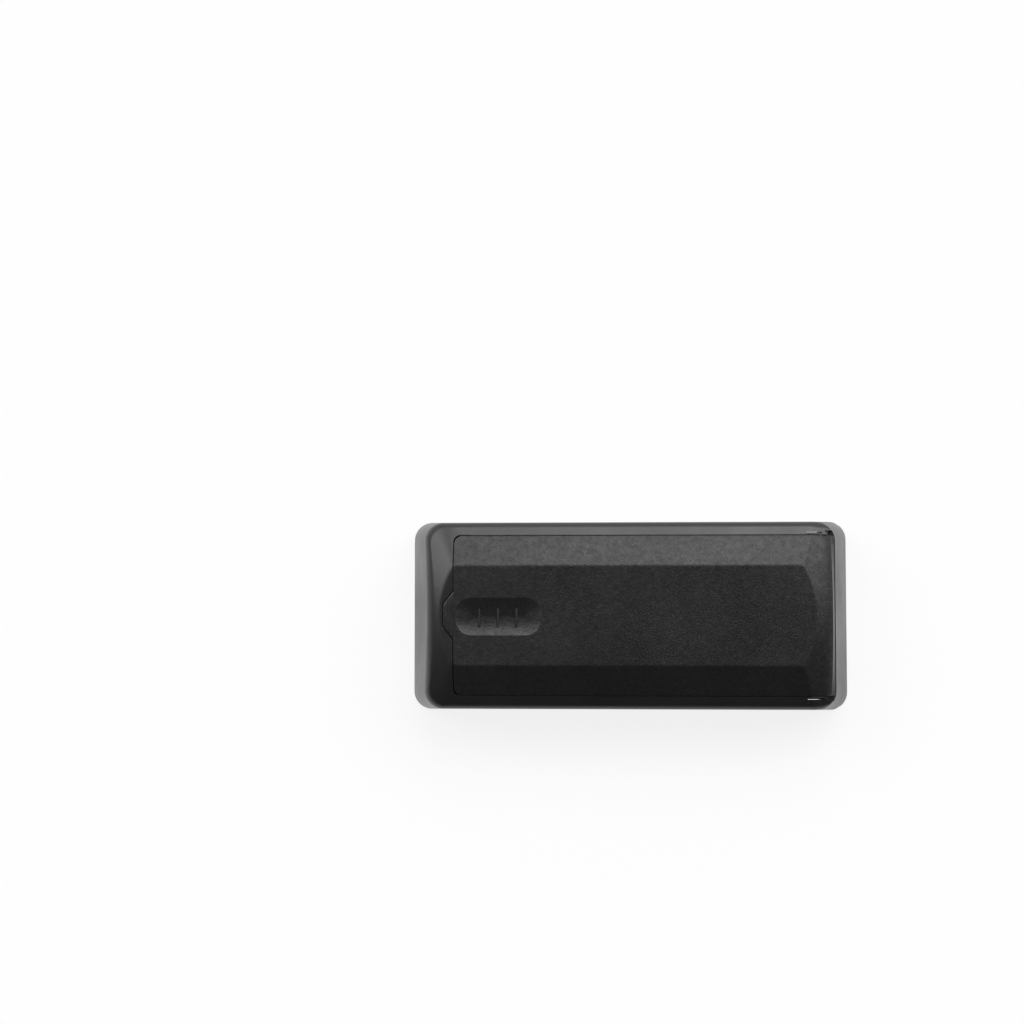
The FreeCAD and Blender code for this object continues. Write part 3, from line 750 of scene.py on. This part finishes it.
def lid_grid():
    """Plan of the lid as rows along it: how its lines follow the edges, creases and ribs."""
    half = [0, 1.4, 2.2, 2.5, 2.8, 3.1, 3.6, 4.6, PATCH[2], 5.8, 6.1, 6.3, 6.5, 6.95, 7.05, 10.0]
    half += [FLAT_SIDE + d for d in (-0.5, -0.3, -0.15, 0, 0.15, 0.3, 0.5)]
    half += [16.0, LID_SIDE - LID_EDGE, LID_SIDE - LID_EDGE + 0.1, 19.1, 19.5, 19.9, 20.3, 20.6]
    half += [LID_SIDE - d for d in reversed(EDGE_LINES)]
    y = np.array([-h for h in reversed(half[1:])] + half)
    left, right, crease = lid_left(y), lid_right(y), low_crease(y)
    lines = [left + d for d in EDGE_LINES]
    lines += [np.maximum(SCOOP[0] - PATCH[0], left + 0.55)]
    inner = LID_FACE + LID_EDGE
    fixed = [inner, inner + 0.1, SCOOP[1] + PATCH[1]]
    for x in STIFFENERS:
        fixed += [x + side * (STIFFENER / 2 + more) for side, more in ((-1, 0.1), (-1, 0), (1, 0), (1, 0.1))]
    lines += [np.full_like(y, x) for x in fixed]
    lines += [crease + d for d in (-1.2, -0.4, -0.27, -0.13, 0, 0.13, 0.27, 0.4)]
    lines += [right - d for d in (LID_EDGE + 0.1, LID_EDGE, 2.2, 1.8, 1.4, 1.1, 0.8, 0.6)]
    lines += [right - d for d in reversed(EDGE_LINES)]
    x = np.array(lines)
    return x, np.broadcast_to(y, x.shape).copy()


def inset_from_edge(x, y):
    """Distance of each place of the plan from the lid's outline."""
    across = np.concatenate([np.linspace(-LID_SIDE, -LID_SIDE + 1.4, 60),
                             np.linspace(-LID_SIDE + 1.4, LID_SIDE - 1.4, 400),
                             np.linspace(LID_SIDE - 1.4, LID_SIDE, 60)])
    edge = np.concatenate([np.stack([lid_left(across), across], 1),
                           np.stack([lid_right(across), across], 1)[::-1]])
    start, step = edge, np.roll(edge, -1, 0) - edge
    spot = np.stack([x.ravel(), y.ravel()], 1)[:, None, :] - start[None]
    share = np.clip((spot * step).sum(2) / np.maximum((step * step).sum(1), 1e-12), 0, 1)
    gap = np.linalg.norm(spot - share[..., None] * step, axis=2)
    return gap.min(1).reshape(x.shape)


def lid_underside(x, y, inset):
    """Height of the lid's underside: its foot, and the ribbed hollow within it."""
    hollow = roof(x, y) - LID_WALL
    under_scoop = (x <= STIFFENERS[0]) & (np.abs(y) <= 6.95)
    hollow = np.where(under_scoop, HEIGHT - SCOOP_DEPTH - LID_WALL, hollow)
    for rib in STIFFENERS:
        on_rib = np.abs(x - rib) <= STIFFENER / 2 + 0.01
        hollow = np.where(on_rib, np.minimum(hollow, roof(x, y) - LID_WALL - STIFFENER_DROP), hollow)
    inside = (np.abs(y) <= LID_SIDE - LID_EDGE + 0.01) & (x >= LID_FACE + LID_EDGE + 0.09)
    inside &= x <= lid_right(y) - LID_EDGE - 0.09
    return np.where(inside, hollow, LID_FOOT + rolled(inset, EDGE))


def lid_top(x, y, inset):
    """Height of the lid's top: the roof, rolled at its far end and along its long edges, and the
    radius or bevel on the edge itself."""
    far = np.clip(END_ROLL_WIDTH - (lid_right(y) - x), 0.0, END_ROLL_WIDTH)
    aside = np.clip(SIDE_ROLL_WIDTH - (LID_SIDE - np.abs(y)), 0.0, SIDE_ROLL_WIDTH)
    end_roll = END_ROLL_FALL * far ** 2 / (2 * END_ROLL_WIDTH)
    end_roll = end_roll + SIDE_ROLL_FALL * aside ** 2 / (2 * SIDE_ROLL_WIDTH)
    bevel = np.maximum(TONGUE_BEVEL[0] - inset, 0.0) * TONGUE_BEVEL[1] * (x < LID_FACE + 0.05)
    return roof(x, y) - end_roll - np.maximum(rolled(inset, LID_ROLL), bevel)


def scoop_drop(inset, x, y):
    """Depth of the thumb recess at an inset from its rim, whose edge is slightly softened."""
    half = SCOOP[2]
    along = (2 * x - SCOOP[0] - SCOOP[1]) / (SCOOP[1] - SCOOP[0])
    radius = (half ** 2 + SCOOP_DEPTH ** 2) / (2 * SCOOP_DEPTH)
    depth = SCOOP_DEPTH - radius + math.sqrt(radius ** 2 - (half - inset) ** 2)
    share = (1 - SCOOP_SKEW * (y - SCOOP_Y) / half) * (1 - SCOOP_ENDS * along ** 2)
    return float(soft_max(0.0, depth, 0.02)) * share


def lid_mesh():
    """Top and underside on one plan, closed at the edges, with the recess let into the top."""
    mesh = bmesh.new()
    x, y = lid_grid()
    inset = inset_from_edge(x, y)
    top_z = lid_top(x, y, inset)
    foot_z = lid_underside(x, y, inset)
    reach = END_FACE_FOOT - lid_right(y) - corner_setback(y, LID_CORNERS[1])
    foot_x = x + reach * np.clip(1 - (lid_right(y) - x) / 1.4, 0.0, 1.0)
    lines, rows = x.shape

    def sheet(x, z):
        return [[mesh.verts.new((x[i, j], y[i, j], z[i, j])) for j in range(rows)] for i in range(lines)]

    top, foot = sheet(x, top_z), sheet(foot_x, foot_z)
    first = len(EDGE_LINES)
    last = int(np.argmin(np.abs(x[:, rows // 2] - SCOOP[1] - PATCH[1])))
    low = int(np.argmin(np.abs(y[0] + PATCH[2])))
    high = int(np.argmin(np.abs(y[0] - PATCH[2])))
    for i in range(lines - 1):
        for j in range(rows - 1):
            face(mesh, (foot[i][j], foot[i][j + 1], foot[i + 1][j + 1], foot[i + 1][j]))
            if not (first <= i < last and low <= j < high):
                face(mesh, (top[i][j], top[i + 1][j], top[i + 1][j + 1], top[i][j + 1]))
    border = [(i, 0) for i in range(lines)] + [(lines - 1, j) for j in range(1, rows)]
    border += [(i, rows - 1) for i in reversed(range(lines - 1))]
    border += [(0, j) for j in reversed(range(1, rows - 1))]
    for (i, j), (k, m) in zip(border, border[1:] + border[:1]):
        face(mesh, (top[i][j], top[k][m], foot[k][m], foot[i][j]))

    # The thumb recess: rings from its rim to its bottom, and the flat round it.
    rings = []
    for inset in SCOOP_RINGS:
        points = rectangle(SCOOP[0] + inset, SCOOP[1] - inset, SCOOP_Y - SCOOP[2] + inset,
                           SCOOP_Y + SCOOP[2] - inset, HEIGHT, max(SCOOP[3] - inset, 0.1), steps=10)
        rings.append([mesh.verts.new((p.x, p.y, p.z - scoop_drop(inset, p.x, p.y))) for p in points])
    for outer, inner in zip(rings, rings[1:]):
        for quad in quads(outer + outer[:1], inner + inner[:1]):
            face(mesh, quad)
    face(mesh, rings[-1])
    edges = [edge for edge in mesh.edges if edge.is_boundary]
    bmesh.ops.triangle_fill(mesh, use_beauty=True, use_dissolve=True, edges=edges)

    # The ribs in the recess, the runners and the stop nibs.
    width, length, height = GRIP
    for rib in GRIP_RIBS:
        block(mesh, (rib - width / 2, GRIP_Y - length / 2, HEIGHT - SCOOP_DEPTH - 0.6),
              (rib + width / 2, GRIP_Y + length / 2, height), 0.41, 0.36)
    for side in (-1, 1):
        reach = sorted((side * (LID_SIDE - RUNNER_ROOT), side * RUNNER_OUT))
        block(mesh, (LID_FACE + LID_CORNERS[0], reach[0], LID_FOOT),
              (LID_END - LID_CORNERS[0], reach[1], RUNNER_TOP), 0.3, 0.15, 0.15)
        reach = sorted((side * (LID_SIDE - RUNNER_ROOT), side * NIB_OUT))
        block(mesh, (NIB[0], reach[0], LID_FOOT), (NIB[1], reach[1], RUNNER_TOP), 0.3, 0.15, 0.15)
    return mesh


lid = finished("sliding_lid_moulding", lid_mesh(), angle=30)
lid.data.materials.append(black_abs("spark_eroded_abs_coarse", grain=0.55, grain_depth=0.095,
                                    roughness=0.34, gloss=0.385, wear=0.15))
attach(lid, "lid")
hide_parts("sliding_lid")


# ---------------------------------------------------------------------------------------------
# Studio. A floor of white paper under the box, and a pale room with a wide soft box beyond the far
# side, dim overhead and on the near side. The soft box has a gap towards the hood's end.

FLOOR_RINGS = (0.15, 0.3, 0.7, 1.4, 2.5)    # radii in metres
FLOOR_SIDES = 72
mesh = bmesh.new()
rings = []
for reach in FLOOR_RINGS:
    turns = [math.tau * i / FLOOR_SIDES for i in range(FLOOR_SIDES)]
    rings.append([mesh.verts.new((reach * math.cos(turn), reach * math.sin(turn), 0)) for turn in turns])
mesh.faces.new(rings[0])
for inner, outer in zip(rings, rings[1:]):
    for quad in quads(inner + inner[:1], outer + outer[:1]):
        mesh.faces.new(quad)
data = bpy.data.meshes.new("floor")
mesh.to_mesh(data)
mesh.free()
floor = bpy.data.objects.new("floor", data)
bpy.context.scene.collection.objects.link(floor)


WHITE_SHARE = 0.85              # of what the eye and a gloss see of the floor


def white_paper(name):
    """Matt white background paper. Most of what the eye and a gloss see of it is plain white, so
    that it stays white to its edge and still takes the shadow."""
    material, tree = bare_material(name)
    place = add(tree, "ShaderNodeTexCoord").outputs["Object"]
    fibre = add(tree, "ShaderNodeTexNoise", {"Vector": place, "Scale": 1 / (3 * MM), "Detail": 3.0})
    tint = add(tree, "ShaderNodeMix", {"Factor": fibre.outputs["Fac"], "A": colour("#f2f2f2"),
                                       "B": colour("#f6f6f6")}, data_type="RGBA")
    paper = add(tree, "ShaderNodeBsdfDiffuse", {"Color": tint.outputs["Result"]})
    white = add(tree, "ShaderNodeEmission", {"Color": (1, 1, 1, 1), "Strength": 1.0})
    ray = add(tree, "ShaderNodeLightPath").outputs
    seen = add(tree, "ShaderNodeMath", {0: ray["Is Camera Ray"], 1: ray["Is Glossy Ray"]}, operation="ADD")
    seen = add(tree, "ShaderNodeMath", {0: seen.outputs["Value"], 1: ray["Is Transmission Ray"]},
               operation="ADD", use_clamp=True)
    share = add(tree, "ShaderNodeMath", {0: seen.outputs["Value"], 1: WHITE_SHARE}, operation="MULTIPLY")
    both = add(tree, "ShaderNodeMixShader", {0: share.outputs["Value"], 1: paper.outputs["BSDF"],
                                             2: white.outputs["Emission"]})
    add(tree, "ShaderNodeOutputMaterial", {"Surface": both.outputs["Shader"]})
    return material


floor.data.materials.append(white_paper("white_background_paper"))

# Brightness of the room by where it lies: Z is up, and side is 1 beyond the far side of the box,
# 0 at its ends and -1 at the near side. The soft box spans the far half, about 28 to 61 degrees from
# overhead, and its gap keeps part of the hood's hip darker. Low down, the room is pale on the far
# side and at the ends, and on the near side only close to the floor.
SOFT_BOX = 4.75
OVERHEAD = 0.05
world = bpy.data.worlds.new("studio")
bpy.context.scene.world = world
world.use_nodes = True
tree = world.node_tree
tree.nodes.clear()
way = add(tree, "ShaderNodeTexCoord").outputs["Generated"]
height = add(tree, "ShaderNodeSeparateXYZ", {0: way}).outputs["Z"]
flat = add(tree, "ShaderNodeVectorMath", {0: way, 1: (1, 1, 0)}, operation="MULTIPLY").outputs["Vector"]
flat = add(tree, "ShaderNodeVectorMath", {0: flat}, operation="NORMALIZE").outputs["Vector"]
around = add(tree, "ShaderNodeSeparateXYZ", {0: flat}).outputs
side = around["Y"]


def ramp(value, low, high, start, end):
    """A smooth change from start to end, as the value goes from low to high."""
    return add(tree, "ShaderNodeMapRange", {"Value": value, "From Min": low, "From Max": high,
                                            "To Min": start, "To Max": end},
               interpolation_type="SMOOTHSTEP").outputs["Result"]


def joined(first, second, operation):
    """Two brightnesses multiplied, or the larger of them."""
    return add(tree, "ShaderNodeMath", {0: first, 1: second}, operation=operation).outputs["Value"]


soft_box = joined(ramp(height, 0.4, 0.56, 0, SOFT_BOX), ramp(height, 0.84, 0.92, 1, 0), "MULTIPLY")
soft_box = joined(soft_box, ramp(side, 0.05, 0.5, 0, 1), "MULTIPLY")
gap = joined(ramp(around["X"], -0.34, -0.18, 0, 1), ramp(around["X"], -0.66, -0.5, 1, 0), "MAXIMUM")
soft_box = joined(soft_box, gap, "MULTIPLY")
walls = joined(ramp(side, -0.7, 0.25, 0.08, 0.35), ramp(height, 0.8, 0.95, 1, 0), "MULTIPLY")
walls = joined(walls, ramp(height, 0.8, 0.95, 0, OVERHEAD), "ADD")
low_down = joined(ramp(side, -0.2, 0.9, 0.6, 1.3), ramp(height, 0.12, 0.5, 1, 0), "MULTIPLY")
dark_side = joined(ramp(side, -0.7, -0.1, 0.0, 1.0), ramp(height, 0.05, 0.16, 1, 0), "MAXIMUM")
low_down = joined(low_down, dark_side, "MULTIPLY")
glow = joined(joined(soft_box, walls, "MAXIMUM"), low_down, "MAXIMUM")
air = add(tree, "ShaderNodeBackground", {"Color": (1, 1, 1, 1), "Strength": glow})
add(tree, "ShaderNodeOutputWorld", {"Surface": air.outputs["Background"]})

CAMERA_HEIGHT = 0.5             # straight over the middle of the box
CAMERA_AIM = (-0.0326, 0.029, 0)            # turned a little, so the box lies low and to the right
CAMERA_LENS = 62.88
camera = bpy.data.objects.new("camera", bpy.data.cameras.new("camera"))
camera.location = (0, 0, CAMERA_HEIGHT)
ahead = (Vector(CAMERA_AIM) - camera.location).normalized()
across = ahead.cross(Vector((0, 1, 0))).normalized()
camera.rotation_euler = Matrix((across, across.cross(ahead), -ahead)).transposed().to_euler()
camera.data.lens = CAMERA_LENS
camera.data.clip_start = 0.01
bpy.context.scene.collection.objects.link(camera)
bpy.context.scene.camera = camera
bpy.context.scene.view_settings.view_transform = "Standard"
